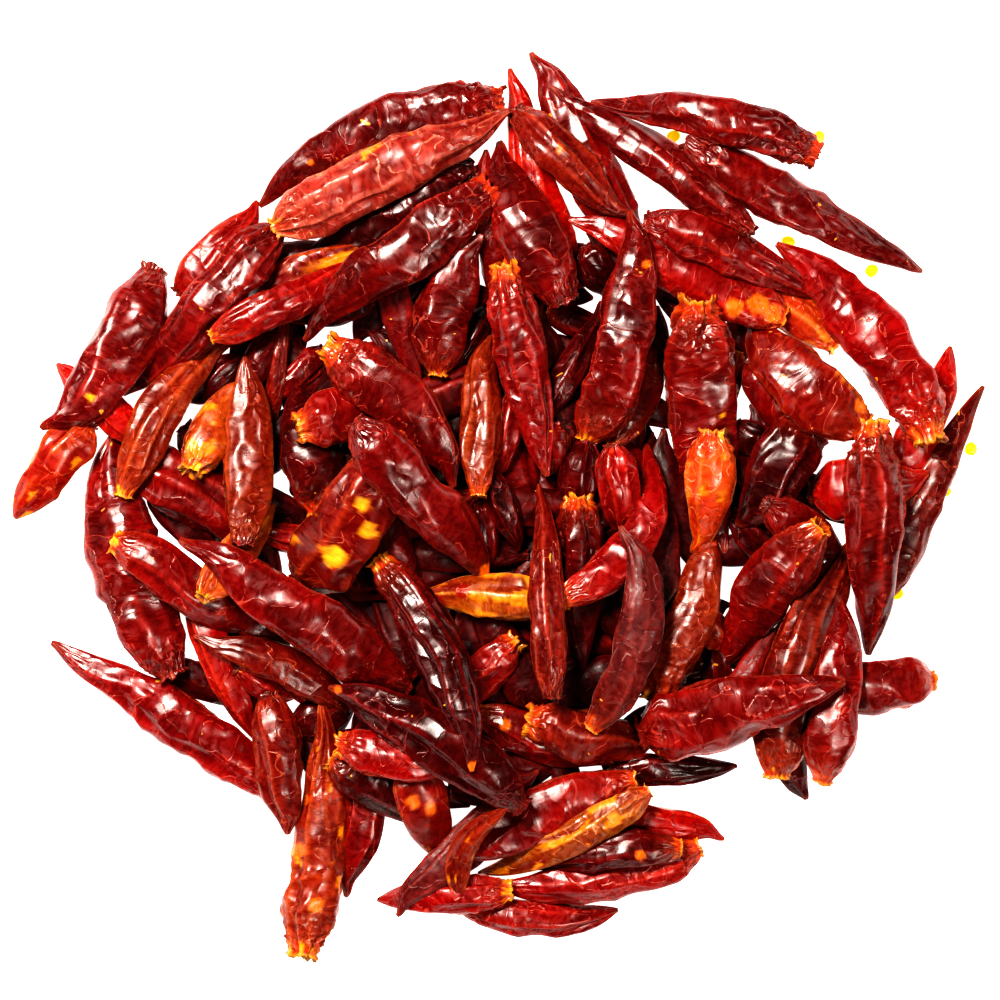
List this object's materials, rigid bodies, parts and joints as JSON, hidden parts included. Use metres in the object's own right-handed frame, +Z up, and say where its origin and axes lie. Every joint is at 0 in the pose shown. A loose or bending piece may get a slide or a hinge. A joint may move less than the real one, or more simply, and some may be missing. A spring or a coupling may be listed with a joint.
{
  "type": "heap of dried chillies",
  "caption": "Low, loose heap of dried red chilli pods lying on a flat surface.",
  "frame": {"origin": "on the surface that the heap lies on, under the middle of its bounding box", "axes": "+Z up; +Y towards the top edge of the picture, which looks straight down; +X towards the picture's right edge"},
  "size_m": [0.2437, 0.2263, 0.0271],
  "materials": {
    "dried_chilli_skin": "glossy wrinkled dried skin, dark red"
  },
  "bodies": {
    "root": {"chilli_heap": "dried_chilli_skin"}
  },
  "joints": []
}
